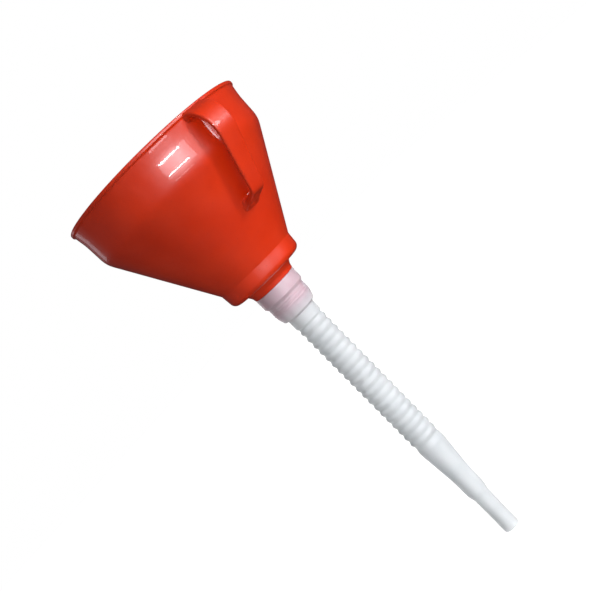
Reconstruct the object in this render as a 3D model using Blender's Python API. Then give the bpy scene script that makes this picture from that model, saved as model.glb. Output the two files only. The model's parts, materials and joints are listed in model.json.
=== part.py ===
"""A plastic funnel with a strap handle, a lift-out strainer and a push-on flexible spout.

Frame: metres, +Z up along the funnel's axis towards the mouth, the origin on the axis in the
plane of the shoulder's flat underside, and the handle towards +X.
"""

import math

import bmesh
import bpy

MM = 0.001

# ---- bowl: lip, skirt, cone, shoulder, neck -------------------------------------------------
MOUTH_RADIUS = 79.2 * MM
LIP_PROUD = 1.3 * MM
LIP_HEIGHT = 2.6 * MM
SKIRT_HEIGHT = 31.4 * MM
SKIRT_DRAFT = math.radians(3.6)
CREASE_FILLET = 20.0 * MM
CONE_HALF_ANGLE = math.radians(29.65)
SHOULDER_RADIUS = 33.8 * MM
SHOULDER_HEIGHT = 12.8 * MM
SHOULDER_DRAFT = math.radians(5.3)
SHOULDER_FILLET = 5.0 * MM
NECK_TOP_RADIUS = 21.8 * MM
NECK_RADIUS = 18.4 * MM
NECK_LENGTH = 7.0 * MM
BOWL_WALL = 1.8 * MM

# ---- stepped spigot that the spout pushes onto ----------------------------------------------
SPIGOT_UPPER_RADIUS = 16.7 * MM
SPIGOT_UPPER_LENGTH = 10.4 * MM
SPIGOT_STEP_DEPTH = 2.2 * MM
SPIGOT_LOWER_LENGTH = 9.2 * MM
GRIP_RIDGE_COUNT = 3
GRIP_RIDGE_HEIGHT = 0.5 * MM
GRIP_RIDGE_WIDTH = 1.2 * MM

# ---- strap handle ---------------------------------------------------------------------------
HANDLE_TOP_SPAN = 20.0 * MM
HANDLE_TOP_DROP = 12.5 * MM
HANDLE_FOOT_SPAN = 13.2 * MM
HANDLE_FOOT_DROP = 4.5 * MM
HANDLE_THICKNESS = 3.2 * MM
HANDLE_TOP_WIDTH = 19.0 * MM
HANDLE_FOOT_WIDTH = 12.8 * MM
HANDLE_EDGE = 0.9 * MM
HANDLE_LENGTH = 65.4 * MM
HANDLE_TOP_BEND = 17.0 * MM
HANDLE_FOOT_BEND = 6.5 * MM
HANDLE_ROOT_FILLET = 7.0 * MM
HANDLE_FOOT_FILLET = 8.0 * MM
HANDLE_ROOT_INSET = 2.0 * MM

# ---- clearances -----------------------------------------------------------------------------
FIT_GAP = 0.3 * MM
STRAINER_CLEARANCE = 0.4 * MM
MERGE_DISTANCE = 0.001 * MM

# ---- strainer -------------------------------------------------------------------------------
STRAINER_HEIGHT = 7.0 * MM
STRAINER_RIM_WALL = 2.2 * MM
STRAINER_LEDGE_WIDTH = 3.0 * MM
STRAINER_FLOOR = 2.0 * MM
STRAINER_BAR_WIDTH = 2.4 * MM
STRAINER_BAR_COUNT = 3
STRAINER_HUB_RADIUS = 5.0 * MM
KNOB_STEM_RADIUS = 2.6 * MM
KNOB_TOP_RADIUS = 4.2 * MM
KNOB_HEIGHT = 13.0 * MM
KNOB_TOP_HEIGHT = 3.0 * MM
GAUZE_THICKNESS = 0.6 * MM

# ---- flexible spout -------------------------------------------------------------------------
COLLAR_WALL = 1.2 * MM
COLLAR_STEP_HEIGHT = 1.6 * MM
COLLAR_END_INSET = 1.9 * MM
COLLAR_CONE_LENGTH = 6.6 * MM
COLLAR_FACE_LENGTH = 1.6 * MM
COLLAR_TAIL_LENGTH = 1.6 * MM
TURN_GAP = 0.4 * MM
BAND_LENGTH = 7.5 * MM
BAND_RADIUS = 12.0 * MM
RING_COUNT = 19
RING_PITCH = 6.57 * MM
RING_PEAK_RADIUS = 11.9 * MM
RING_VALLEY_RADIUS = 10.7 * MM
VALLEY_GAP = 1.0 * MM
SPOUT_WALL = 1.2 * MM

# ---- nozzle ---------------------------------------------------------------------------------
NOZZLE_BULGE_RADIUS = 11.55 * MM
NOZZLE_BULGE_DROP = 5.6 * MM
NOZZLE_TAPER_LENGTH = 33.4 * MM
NOZZLE_WAIST_RADIUS = 8.7 * MM
NOZZLE_WAIST_LENGTH = 17.4 * MM
NOZZLE_STEP_LENGTH = 5.8 * MM
TIP_RADIUS = 6.95 * MM
TIP_LENGTH = 34.8 * MM
TIP_DRAFT = 0.15 * MM
TIP_EDGE = 0.5 * MM

BOWL_SIDES = 36
SPOUT_SIDES = 24
RING_SIDES = 18

ORANGE_RED = (0.55, 0.045, 0.008, 1.0)
NATURAL_WHITE = (0.74, 0.76, 0.77, 1.0)
BRASS = (0.72, 0.50, 0.20, 1.0)

# ---- places that follow from the sizes above ------------------------------------------------
SKIRT_TOP_RADIUS = MOUTH_RADIUS - LIP_PROUD
CREASE_RADIUS = SKIRT_TOP_RADIUS - SKIRT_HEIGHT * math.tan(SKIRT_DRAFT)
CONE_HEIGHT = (CREASE_RADIUS - SHOULDER_RADIUS) / math.tan(CONE_HALF_ANGLE)
CREASE_Z = SHOULDER_HEIGHT + CONE_HEIGHT
RIM_Z = CREASE_Z + SKIRT_HEIGHT
SHOULDER_FOOT_RADIUS = SHOULDER_RADIUS - SHOULDER_HEIGHT * math.tan(SHOULDER_DRAFT)
SEAT_Z = BOWL_WALL
STRAINER_BASE_Z = SEAT_Z + FIT_GAP
STRAINER_FILLET = SHOULDER_FILLET - BOWL_WALL
SEAT_RADIUS = (
    SHOULDER_FOOT_RADIUS + BOWL_WALL * math.tan(SHOULDER_DRAFT) - BOWL_WALL / math.cos(SHOULDER_DRAFT)
)
STRAINER_RADIUS = SEAT_RADIUS - STRAINER_CLEARANCE
STRAINER_FLOOR_Z = STRAINER_BASE_Z + STRAINER_FLOOR
GAUZE_RADIUS = STRAINER_RADIUS - STRAINER_RIM_WALL - FIT_GAP
SPIGOT_TOP_Z = -NECK_LENGTH
SPIGOT_STEP_Z = SPIGOT_TOP_Z - SPIGOT_UPPER_LENGTH
SPIGOT_END_Z = SPIGOT_STEP_Z - SPIGOT_LOWER_LENGTH
COLLAR_TOP_Z = SPIGOT_TOP_Z - FIT_GAP
COLLAR_UPPER_BORE = SPIGOT_UPPER_RADIUS + FIT_GAP
SPIGOT_LOWER_RADIUS = SPIGOT_UPPER_RADIUS - SPIGOT_STEP_DEPTH
COLLAR_LOWER_BORE = SPIGOT_LOWER_RADIUS + GRIP_RIDGE_HEIGHT + FIT_GAP
COLLAR_END_RADIUS = COLLAR_LOWER_BORE + COLLAR_WALL - COLLAR_END_INSET
COLLAR_CONE_Z = SPIGOT_END_Z - FIT_GAP
COLLAR_FACE_Z = COLLAR_CONE_Z - COLLAR_CONE_LENGTH
COLLAR_END_Z = COLLAR_FACE_Z - COLLAR_FACE_LENGTH - COLLAR_TAIL_LENGTH
BAND_TOP_Z = COLLAR_END_Z - TURN_GAP
BAND_END_Z = BAND_TOP_Z - BAND_LENGTH
FIRST_VALLEY_Z = BAND_END_Z - VALLEY_GAP / 2
LAST_VALLEY_Z = FIRST_VALLEY_Z - RING_COUNT * RING_PITCH
NOZZLE_TOP_Z = LAST_VALLEY_Z - VALLEY_GAP / 2
NOZZLE_END_Z = (
    NOZZLE_TOP_Z - NOZZLE_BULGE_DROP - NOZZLE_TAPER_LENGTH
    - NOZZLE_WAIST_LENGTH - NOZZLE_STEP_LENGTH - TIP_LENGTH
)


# ---- outlines in the (radius, z) plane ------------------------------------------------------
def rounded(corners, steps=3):
    """Replace each (radius, z, fillet) corner by an arc; a fillet of 0 keeps the corner."""
    outline = []
    last = len(corners) - 1
    for index, (x, z, fillet) in enumerate(corners):
        if fillet == 0 or index in (0, last):
            outline.append((x, z))
            continue
        before = unit(corners[index - 1][0] - x, corners[index - 1][1] - z)
        after = unit(corners[index + 1][0] - x, corners[index + 1][1] - z)
        half = math.acos(max(-1.0, min(1.0, before[0] * after[0] + before[1] * after[1]))) / 2
        bisector = unit(before[0] + after[0], before[1] + after[1])
        centre_x = x + bisector[0] * fillet / math.sin(half)
        centre_z = z + bisector[1] * fillet / math.sin(half)
        tangent = fillet / math.tan(half)
        start = math.atan2(z + before[1] * tangent - centre_z, x + before[0] * tangent - centre_x)
        end = math.atan2(z + after[1] * tangent - centre_z, x + after[0] * tangent - centre_x)
        sweep = (end - start + math.pi) % (2 * math.pi) - math.pi
        for step in range(steps + 1):
            angle = start + sweep * step / steps
            outline.append((centre_x + fillet * math.cos(angle), centre_z + fillet * math.sin(angle)))
    return outline


def unit(x, z):
    length = math.hypot(x, z)
    return x / length, z / length


def parallel(corners, distance):
    """The corners' line moved sideways by distance, to the right of its direction of travel.

    A fillet grows or shrinks with the side that it is on. The two ends stay at their heights.
    """
    sides = []
    for (x0, z0, _), (x1, z1, _) in zip(corners, corners[1:]):
        along = unit(x1 - x0, z1 - z0)
        right = (along[1], -along[0])
        sides.append(((x0 + right[0] * distance, z0 + right[1] * distance), along))
    moved = [(at_height(sides[0], corners[0][1]), corners[0][1], 0)]
    for side, following, corner in zip(sides, sides[1:], corners[1:]):
        x, z = crossing(side, following)
        turn = side[1][0] * following[1][1] - side[1][1] * following[1][0]
        grown = corner[2] + distance * math.copysign(1, turn) if corner[2] else 0
        moved.append((x, z, max(grown, 0)))
    moved.append((at_height(sides[-1], corners[-1][1]), corners[-1][1], 0))
    return moved


def at_height(side, z):
    (x0, z0), (dx, dz) = side
    return x0 + dx * (z - z0) / dz


def crossing(first, second):
    """Where two lines, each (point, direction), cross."""
    (x0, z0), (dx0, dz0) = first
    (x1, z1), (dx1, dz1) = second
    share = ((x1 - x0) * dz1 - (z1 - z0) * dx1) / (dx0 * dz1 - dz0 * dx1)
    return x0 + dx0 * share, z0 + dz0 * share


# ---- objects --------------------------------------------------------------------------------
def material(name, colour, roughness, metallic=0.0):
    made = bpy.data.materials.new(name)
    made.use_nodes = True
    shader = made.node_tree.nodes["Principled BSDF"]
    shader.inputs["Base Color"].default_value = colour
    shader.inputs["Roughness"].default_value = roughness
    shader.inputs["Metallic"].default_value = metallic
    return made


def add_object(name, mesh_data, surface, parent=None):
    """Put a finished bmesh into the scene as one named, smooth-shaded object."""
    mesh = bpy.data.meshes.new(name)
    bmesh.ops.recalc_face_normals(mesh_data, faces=mesh_data.faces)
    mesh_data.to_mesh(mesh)
    mesh_data.free()
    mesh.shade_smooth()
    mesh.set_sharp_from_angle(angle=math.radians(35))
    if surface:
        mesh.materials.append(surface)
    made = bpy.data.objects.new(name, mesh)
    bpy.context.scene.collection.objects.link(made)
    if parent:
        made.parent = parent
        made.location = -parent.matrix_world.translation
    return made


def spun(outline, sides):
    """A bmesh with a (radius, z) outline spun once round the Z axis.

    An outline whose two ends lie on the axis stays open and meets itself there.
    """
    mesh_data = bmesh.new()
    corners = [mesh_data.verts.new((radius, 0, z)) for radius, z in outline]
    solid = outline[0][0] == 0 and outline[-1][0] == 0
    following = corners[1:] if solid else corners[1:] + corners[:1]
    edges = [mesh_data.edges.new(pair) for pair in zip(corners, following)]
    bmesh.ops.spin(
        mesh_data, geom=corners + edges, cent=(0, 0, 0), axis=(0, 0, 1),
        angle=2 * math.pi, steps=sides, use_merge=True,
    )
    bmesh.ops.remove_doubles(mesh_data, verts=mesh_data.verts, dist=MERGE_DISTANCE)
    return mesh_data


def turned(name, outline, sides, surface, parent=None):
    return add_object(name, spun(outline, sides), surface, parent)


def block(name, low, high, turn=0.0):
    """A box between two corners, turned about Z; it serves as a tool for a Boolean."""
    mesh_data = bmesh.new()
    bmesh.ops.create_cube(mesh_data, size=1)
    for vertex in mesh_data.verts:
        spot = [low[i] + (vertex.co[i] + 0.5) * (high[i] - low[i]) for i in range(3)]
        vertex.co = (
            spot[0] * math.cos(turn) - spot[1] * math.sin(turn),
            spot[0] * math.sin(turn) + spot[1] * math.cos(turn),
            spot[2],
        )
    return add_object(name, mesh_data, None)


def combine(target, tool, operation):
    """Apply one Boolean with an operand that stays in the scene only as a guide."""
    tool.hide_render = True
    tool.display_type = "WIRE"
    modifier = target.modifiers.new(f"{operation.lower()} {tool.name}", "BOOLEAN")
    modifier.operation = operation
    modifier.solver = "EXACT"
    modifier.object = tool


def empty(name, location, parent=None):
    made = bpy.data.objects.new(name, None)
    made.empty_display_size = 10 * MM
    bpy.context.scene.collection.objects.link(made)
    made.parent = parent
    parent_place = parent.matrix_world.translation if parent else (0, 0, 0)
    made.location = [place - base for place, base in zip(location, parent_place)]
    bpy.context.view_layer.update()
    return made


# ---- bowl -----------------------------------------------------------------------------------
def bowl_corners():
    """The bowl's outer corners from the rim down to the spigot's end, without lip and ridges."""
    return [
        (SKIRT_TOP_RADIUS, RIM_Z, 0),
        (CREASE_RADIUS, CREASE_Z, CREASE_FILLET),
        (SHOULDER_RADIUS, SHOULDER_HEIGHT, 0),
        (SHOULDER_FOOT_RADIUS, 0, SHOULDER_FILLET),
        (NECK_TOP_RADIUS, 0, 0),
        (NECK_RADIUS, SPIGOT_TOP_Z, 0),
        (SPIGOT_UPPER_RADIUS, SPIGOT_TOP_Z, 0),
        (SPIGOT_UPPER_RADIUS, SPIGOT_STEP_Z, 0),
        (SPIGOT_LOWER_RADIUS, SPIGOT_STEP_Z, 0),
        (SPIGOT_LOWER_RADIUS, SPIGOT_END_Z, 0),
    ]


def grip_ridges():
    """The small ridges round the spigot's lower step, from the top down."""
    pitch = SPIGOT_LOWER_LENGTH / (GRIP_RIDGE_COUNT + 1)
    outline = []
    for index in range(GRIP_RIDGE_COUNT):
        middle = SPIGOT_STEP_Z - pitch * (index + 1)
        outline.append((SPIGOT_LOWER_RADIUS, middle + GRIP_RIDGE_WIDTH / 2))
        outline.append((SPIGOT_LOWER_RADIUS + GRIP_RIDGE_HEIGHT, middle))
        outline.append((SPIGOT_LOWER_RADIUS, middle - GRIP_RIDGE_WIDTH / 2))
    return outline


def make_bowl(surface):
    outer = rounded(bowl_corners())
    inner = rounded(parallel(bowl_corners(), BOWL_WALL))
    under_lip_z = RIM_Z - LIP_HEIGHT
    under_lip_radius = SKIRT_TOP_RADIUS - LIP_HEIGHT * math.tan(SKIRT_DRAFT)
    lip = [(MOUTH_RADIUS, RIM_Z), (MOUTH_RADIUS, under_lip_z), (under_lip_radius, under_lip_z)]
    outline = lip + outer[1:-1] + grip_ridges() + outer[-1:] + inner[::-1]
    return turned("bowl", outline, BOWL_SIDES, surface)


# ---- handle ---------------------------------------------------------------------------------
def handle_corners():
    """The strap's centre line in the XZ plane: out from the lip, along the wall, into the cone."""
    root_z = RIM_Z - HANDLE_ROOT_INSET
    top_z = root_z - HANDLE_TOP_DROP
    foot_z = root_z - HANDLE_LENGTH
    end_z = foot_z - HANDLE_FOOT_DROP
    return [
        (wall_radius(root_z) - 2 * BOWL_WALL, root_z, 0),
        (wall_radius(top_z) + HANDLE_TOP_SPAN, top_z, HANDLE_TOP_BEND),
        (wall_radius(foot_z) + HANDLE_FOOT_SPAN, foot_z, HANDLE_FOOT_BEND),
        (wall_radius(end_z) - 2 * BOWL_WALL, end_z, 0),
    ]


def wall_radius(z):
    """The bowl's outer radius at a height on its skirt or cone."""
    if z >= CREASE_Z:
        return CREASE_RADIUS + (z - CREASE_Z) * math.tan(SKIRT_DRAFT)
    return CREASE_RADIUS - (CREASE_Z - z) * math.tan(CONE_HALF_ANGLE)


def strap_section(width, depth):
    """Eight corners of a strap's cross-section as (across, outwards) from its centre line.

    The outer face stays half a thickness away, and depth is how far the inner face reaches in.
    """
    half, thick = width / 2, HANDLE_THICKNESS / 2
    edge = HANDLE_EDGE
    return [
        (-half + edge, thick), (half - edge, thick), (half, thick - edge), (half, edge - depth),
        (half - edge, -depth), (edge - half, -depth), (-half, edge - depth), (-half, thick - edge),
    ]


def fillet_growth(distance, radius):
    """How far a fillet of this radius stands out at a distance from the wall that it meets."""
    if distance >= radius:
        return 0
    return radius - math.sqrt(radius ** 2 - (radius - max(distance, 0)) ** 2)


def make_handle(surface):
    path = rounded(handle_corners(), steps=6)
    path = with_fillet_stations(path, HANDLE_ROOT_FILLET)
    path = with_fillet_stations(path[::-1], HANDLE_FOOT_FILLET)[::-1]
    mesh_data = bmesh.new()
    loops = []
    for index, (x, z) in enumerate(path):
        before = path[max(index - 1, 0)]
        after = path[min(index + 1, len(path) - 1)]
        along = unit(after[0] - before[0], after[1] - before[1])
        out = (-along[1], along[0])
        share = (path[0][1] - z) / (path[0][1] - path[-1][1])
        width = HANDLE_TOP_WIDTH + (HANDLE_FOOT_WIDTH - HANDLE_TOP_WIDTH) * share
        off_wall = x - wall_radius(z)
        in_upper_half = share < 0.5
        fillet = HANDLE_ROOT_FILLET if in_upper_half else HANDLE_FOOT_FILLET
        growth = fillet_growth(off_wall, fillet)
        section = strap_section(width + growth, HANDLE_THICKNESS / 2 + growth)
        loops.append([
            mesh_data.verts.new((x + out[0] * away, across, z + out[1] * away))
            for across, away in section
        ])
    for first, second in zip(loops, loops[1:]):
        for index in range(len(first)):
            following = (index + 1) % len(first)
            mesh_data.faces.new((first[index], first[following], second[following], second[index]))
    mesh_data.faces.new(loops[0])
    mesh_data.faces.new(loops[-1])
    handle = add_object("handle", mesh_data, surface)
    combine(handle, bowl_envelope(), "DIFFERENCE")
    return handle


def with_fillet_stations(path, fillet, count=4):
    """The path with extra points on its first run, close together where the fillet is steep."""
    (x0, z0), (x1, z1) = path[:2]
    along = unit(x1 - x0, z1 - z0)
    buried = 2 * BOWL_WALL
    reach = min(fillet, math.hypot(x1 - x0, z1 - z0) - buried) * 0.95
    stations = [buried + reach * (step / count) ** 2 for step in range(count + 1)]
    return [path[0]] + [(x0 + along[0] * run, z0 + along[1] * run) for run in stations] + path[1:]


def bowl_envelope():
    """The bowl's outer surface grown by the fit gap, filled inwards, from which parts keep clear."""
    above = RIM_Z + HANDLE_THICKNESS
    skin = rounded(parallel(bowl_corners()[:4], -FIT_GAP))
    lip = [
        (SHOULDER_FOOT_RADIUS / 2, above),
        (MOUTH_RADIUS + FIT_GAP, above),
        (MOUTH_RADIUS + FIT_GAP, RIM_Z - LIP_HEIGHT - FIT_GAP),
        (SKIRT_TOP_RADIUS + FIT_GAP, RIM_Z - LIP_HEIGHT - FIT_GAP),
    ]
    outline = lip + skin[1:] + [(SHOULDER_FOOT_RADIUS / 2, 0)]
    return turned("bowl_envelope", outline, BOWL_SIDES, None)


# ---- strainer -------------------------------------------------------------------------------
def make_strainer_frame(surface, parent):
    inner = STRAINER_RADIUS - STRAINER_RIM_WALL
    window = inner - STRAINER_LEDGE_WIDTH
    rim = [
        (STRAINER_RADIUS, STRAINER_BASE_Z + STRAINER_HEIGHT),
        (STRAINER_RADIUS, STRAINER_BASE_Z + STRAINER_FILLET),
        (STRAINER_RADIUS - STRAINER_FILLET, STRAINER_BASE_Z),
        (window, STRAINER_BASE_Z),
        (window, STRAINER_FLOOR_Z),
        (inner, STRAINER_FLOOR_Z),
        (inner, STRAINER_BASE_Z + STRAINER_HEIGHT),
    ]
    frame = turned("strainer_frame", rim, BOWL_SIDES, surface, parent)
    reach = window + STRAINER_LEDGE_WIDTH / 2
    half = STRAINER_BAR_WIDTH / 2
    for index in range(STRAINER_BAR_COUNT):
        bar = block(
            f"strainer_bar_{index + 1}",
            (0, -half, STRAINER_BASE_Z + FIT_GAP), (reach, half, STRAINER_FLOOR_Z - FIT_GAP / 2),
            2 * math.pi * index / STRAINER_BAR_COUNT,
        )
        combine(frame, bar, "UNION")
    combine(frame, strainer_knob(), "UNION")
    return frame


def strainer_knob():
    """The hub where the bars meet, with the knob that lifts the strainer."""
    top_z = STRAINER_BASE_Z + KNOB_HEIGHT
    outline = [
        (0, top_z),
        (KNOB_TOP_RADIUS * 0.7, top_z),
        (KNOB_TOP_RADIUS, top_z - KNOB_TOP_HEIGHT / 3),
        (KNOB_TOP_RADIUS, top_z - KNOB_TOP_HEIGHT),
        (KNOB_STEM_RADIUS, top_z - 1.5 * KNOB_TOP_HEIGHT),
        (KNOB_STEM_RADIUS, STRAINER_FLOOR_Z),
        (STRAINER_HUB_RADIUS, STRAINER_FLOOR_Z),
        (STRAINER_HUB_RADIUS, STRAINER_BASE_Z),
        (0, STRAINER_BASE_Z),
    ]
    return turned("strainer_knob", outline, RING_SIDES, None)


def make_strainer_gauze(surface, parent):
    low = STRAINER_FLOOR_Z + FIT_GAP
    high = low + GAUZE_THICKNESS
    hole = KNOB_STEM_RADIUS + FIT_GAP
    outline = [(GAUZE_RADIUS, high), (GAUZE_RADIUS, low), (hole, low), (hole, high)]
    return turned("strainer_gauze", outline, BOWL_SIDES, surface, parent)


# ---- spout ----------------------------------------------------------------------------------
def make_collar(surface, parent):
    """The socket that pushes over the stepped spigot and narrows to the hose."""
    upper = COLLAR_UPPER_BORE + COLLAR_WALL
    lower = COLLAR_LOWER_BORE + COLLAR_WALL
    outer = [
        (upper, COLLAR_TOP_Z, 0),
        (upper, SPIGOT_STEP_Z, 0),
        (lower, SPIGOT_STEP_Z - COLLAR_STEP_HEIGHT, 0),
        (lower, COLLAR_CONE_Z, COLLAR_CONE_LENGTH / 2),
        (COLLAR_END_RADIUS, COLLAR_FACE_Z, COLLAR_FACE_LENGTH / 2),
        (BAND_RADIUS, COLLAR_FACE_Z - COLLAR_FACE_LENGTH, 0),
        (BAND_RADIUS, COLLAR_END_Z, 0),
    ]
    inner = parallel(outer, SPOUT_WALL)[:3:-1]
    bore = [
        (COLLAR_LOWER_BORE, COLLAR_CONE_Z),
        (COLLAR_LOWER_BORE, SPIGOT_STEP_Z - FIT_GAP),
        (COLLAR_UPPER_BORE, SPIGOT_STEP_Z - FIT_GAP),
        (COLLAR_UPPER_BORE, COLLAR_TOP_Z),
    ]
    return turned("spout_collar", rounded(outer) + rounded(inner) + bore, SPOUT_SIDES, surface, parent)


def make_band(surface, parent):
    """The plain first stretch of hose below the collar, down to the first valley."""
    outline = [
        (BAND_RADIUS, BAND_TOP_Z),
        (BAND_RADIUS, BAND_END_Z + RING_PITCH / 3),
        (RING_VALLEY_RADIUS, BAND_END_Z),
        (RING_VALLEY_RADIUS - SPOUT_WALL, BAND_END_Z),
        (BAND_RADIUS - SPOUT_WALL, BAND_END_Z + RING_PITCH / 3),
        (BAND_RADIUS - SPOUT_WALL, BAND_TOP_Z),
    ]
    return turned("spout_band", outline, SPOUT_SIDES, surface, parent)


def hose_radius(offset):
    """The hose's outer radius at a distance along it from the middle of a ring."""
    wave = math.cos(math.pi * offset / RING_PITCH) ** 2
    return RING_VALLEY_RADIUS + (RING_PEAK_RADIUS - RING_VALLEY_RADIUS) * wave


def make_ring(index, surface, parent):
    """One corrugation, from valley gap to valley gap."""
    middle = FIRST_VALLEY_Z - RING_PITCH * (index - 0.5)
    half = (RING_PITCH - VALLEY_GAP) / 2
    outer = [(hose_radius(half * share), middle - half * share) for share in (-1, -0.5, 0, 0.5, 1)]
    bore = hose_radius(half) - SPOUT_WALL
    inner = [(bore, middle - half), (bore, middle + half)]
    return turned(f"spout_ring_{index:02d}", outer + inner, RING_SIDES, surface, parent)


def make_nozzle(surface, parent):
    """The last half corrugation, a long taper, a waist, a short step and the narrow tip."""
    bulge_z = NOZZLE_TOP_Z - NOZZLE_BULGE_DROP
    waist_z = bulge_z - NOZZLE_TAPER_LENGTH
    step_z = waist_z - NOZZLE_WAIST_LENGTH
    tip_z = step_z - NOZZLE_STEP_LENGTH
    tip_end_radius = TIP_RADIUS - TIP_DRAFT
    outer = [
        (RING_VALLEY_RADIUS, NOZZLE_TOP_Z, 0),
        (NOZZLE_BULGE_RADIUS, bulge_z, NOZZLE_BULGE_DROP / 2),
        (NOZZLE_WAIST_RADIUS, waist_z, 0),
        (NOZZLE_WAIST_RADIUS, step_z, 0),
        (TIP_RADIUS, tip_z, 0),
        (tip_end_radius, NOZZLE_END_Z, 0),
    ]
    inner = rounded(parallel(outer, SPOUT_WALL))
    ended = rounded(outer)[:-1] + [
        (tip_end_radius, NOZZLE_END_Z + TIP_EDGE),
        (tip_end_radius - TIP_EDGE, NOZZLE_END_Z),
    ]
    return turned("spout_nozzle", ended + inner[::-1], SPOUT_SIDES, surface, parent)


def make_spout(surface):
    """The spout as a chain of rigid stretches, each hung on an empty at the joint above it."""
    slide = empty("spout_pull_off", (0, 0, COLLAR_TOP_Z))
    make_collar(surface, slide)
    pivot = empty("spout_turn", (0, 0, BAND_TOP_Z), slide)
    make_band(surface, pivot)
    for index in range(1, RING_COUNT + 1):
        place = (0, 0, FIRST_VALLEY_Z - RING_PITCH * (index - 1))
        pivot = empty(f"bend_{index:02d}", place, pivot)
        make_ring(index, surface, pivot)
    pivot = empty(f"bend_{RING_COUNT + 1:02d}", (0, 0, LAST_VALLEY_Z), pivot)
    make_nozzle(surface, pivot)


def main():
    for old in list(bpy.data.objects):
        bpy.data.objects.remove(old, do_unlink=True)
    red = material("orange_red_plastic", ORANGE_RED, 0.25)
    white = material("natural_white_plastic", NATURAL_WHITE, 0.35)
    brass = material("brass_gauze", BRASS, 0.35, 1.0)
    make_bowl(red)
    make_handle(red)
    lift = empty("strainer_lift", (0, 0, STRAINER_BASE_Z))
    make_strainer_frame(white, lift)
    make_strainer_gauze(brass, lift)
    make_spout(white)


main()
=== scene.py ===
"""The looks of a plastic funnel with a flexible spout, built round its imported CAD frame.

Everything is in metres in the frame of the CAD model: +Z along the axis towards the mouth, the
origin on the axis in the plane of the shoulder's underside, and the handle towards +X.
"""

import json
import math

import bmesh
import bpy
import numpy as np
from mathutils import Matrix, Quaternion, Vector


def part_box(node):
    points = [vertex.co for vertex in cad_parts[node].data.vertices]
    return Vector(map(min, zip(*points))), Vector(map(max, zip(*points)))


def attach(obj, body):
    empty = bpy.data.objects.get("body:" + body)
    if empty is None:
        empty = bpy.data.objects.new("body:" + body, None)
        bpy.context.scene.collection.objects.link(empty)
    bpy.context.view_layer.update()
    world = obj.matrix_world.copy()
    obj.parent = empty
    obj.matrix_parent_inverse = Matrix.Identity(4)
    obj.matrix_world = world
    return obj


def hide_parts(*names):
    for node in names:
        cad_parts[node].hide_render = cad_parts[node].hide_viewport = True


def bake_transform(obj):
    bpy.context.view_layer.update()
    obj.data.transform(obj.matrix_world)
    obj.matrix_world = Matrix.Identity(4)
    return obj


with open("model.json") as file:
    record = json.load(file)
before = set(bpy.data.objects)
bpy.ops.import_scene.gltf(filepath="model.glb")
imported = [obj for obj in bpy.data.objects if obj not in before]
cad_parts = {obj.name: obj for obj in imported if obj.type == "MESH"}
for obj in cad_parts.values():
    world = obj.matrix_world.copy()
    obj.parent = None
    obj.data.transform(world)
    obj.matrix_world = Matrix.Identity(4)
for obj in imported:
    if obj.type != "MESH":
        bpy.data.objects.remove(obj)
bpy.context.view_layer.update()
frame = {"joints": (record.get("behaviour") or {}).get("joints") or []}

MM = 0.001

# ---- bowl -----------------------------------------------------------------------------------
RIM_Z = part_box("bowl")[1].z
MOUTH_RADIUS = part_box("bowl")[1].x
SPIGOT_END_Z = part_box("bowl")[0].z
LIP_PROUD = 1.3 * MM
LIP_HEIGHT = 2.6 * MM
SKIRT_HEIGHT = 31.4 * MM
SKIRT_DRAFT = math.radians(3.6)
FLARE_HEIGHT = 12.0 * MM
FLARE_HOLLOW = 0.45 * MM
CONE_HALF_ANGLE = math.radians(29.65)
SHOULDER_RADIUS = 33.8 * MM
SHOULDER_HEIGHT = 12.8 * MM
SHOULDER_DRAFT = math.radians(5.3)
NECK_TOP_RADIUS = 21.8 * MM
NECK_RADIUS = 18.4 * MM
SPIGOT_TOP_Z = -7.0 * MM
SPIGOT_STEP_Z = -17.4 * MM
SPIGOT_UPPER_RADIUS = 16.7 * MM
SPIGOT_LOWER_RADIUS = 14.5 * MM
GRIP_RIDGE_COUNT = 3
GRIP_RIDGE_HEIGHT = 0.5 * MM
BOWL_WALL = 1.8 * MM
LIP_CREST_RADIUS = MOUTH_RADIUS - 1.2 * MM
SHOULDER_FOOT_RADIUS = SHOULDER_RADIUS - SHOULDER_HEIGHT * math.tan(SHOULDER_DRAFT)
SKIRT_TOP_RADIUS = MOUTH_RADIUS - LIP_PROUD
CREASE_RADIUS = SKIRT_TOP_RADIUS - SKIRT_HEIGHT * math.tan(SKIRT_DRAFT)
CREASE_Z = RIM_Z - SKIRT_HEIGHT

# ---- handle ---------------------------------------------------------------------------------
HANDLE_THICKNESS = 3.2 * MM
HANDLE_TOP_WIDTH = 19.0 * MM
HANDLE_FOOT_WIDTH = 12.8 * MM
HANDLE_ROOT_INSET = 2.0 * MM
HANDLE_TOP_SPAN = 20.0 * MM
HANDLE_TOP_DROP = 12.5 * MM
HANDLE_FOOT_SPAN = 13.2 * MM
HANDLE_FOOT_DROP = 4.5 * MM
HANDLE_LENGTH = 65.4 * MM
HANDLE_TOP_BEND = 17.0 * MM
HANDLE_FOOT_BEND = 6.5 * MM
HANDLE_EDGE = HANDLE_THICKNESS * 0.42
HANDLE_TURN_IN = 13 * MM
HANDLE_SINK = 0.35 * MM
ROOT_FILLETS = {"inner": 8.5 * MM, "side": 5.0 * MM, "outer": 0.6 * MM}
FOOT_FILLETS = {"inner": 8.5 * MM, "side": 5.0 * MM, "outer": 3.5 * MM}

# ---- strainer -------------------------------------------------------------------------------
STRAINER_BASE_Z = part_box("strainer_frame")[0].z
STRAINER_TOP_Z = STRAINER_BASE_Z + 7.0 * MM
STRAINER_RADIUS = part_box("strainer_frame")[1].y
KNOB_TOP_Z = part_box("strainer_frame")[1].z
GAUZE_Z = (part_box("strainer_gauze")[0].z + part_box("strainer_gauze")[1].z) / 2
GAUZE_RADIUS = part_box("strainer_gauze")[1].y
GAUZE_PITCH = 1.15 * MM
GAUZE_WIRE = 0.14 * MM

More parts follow.
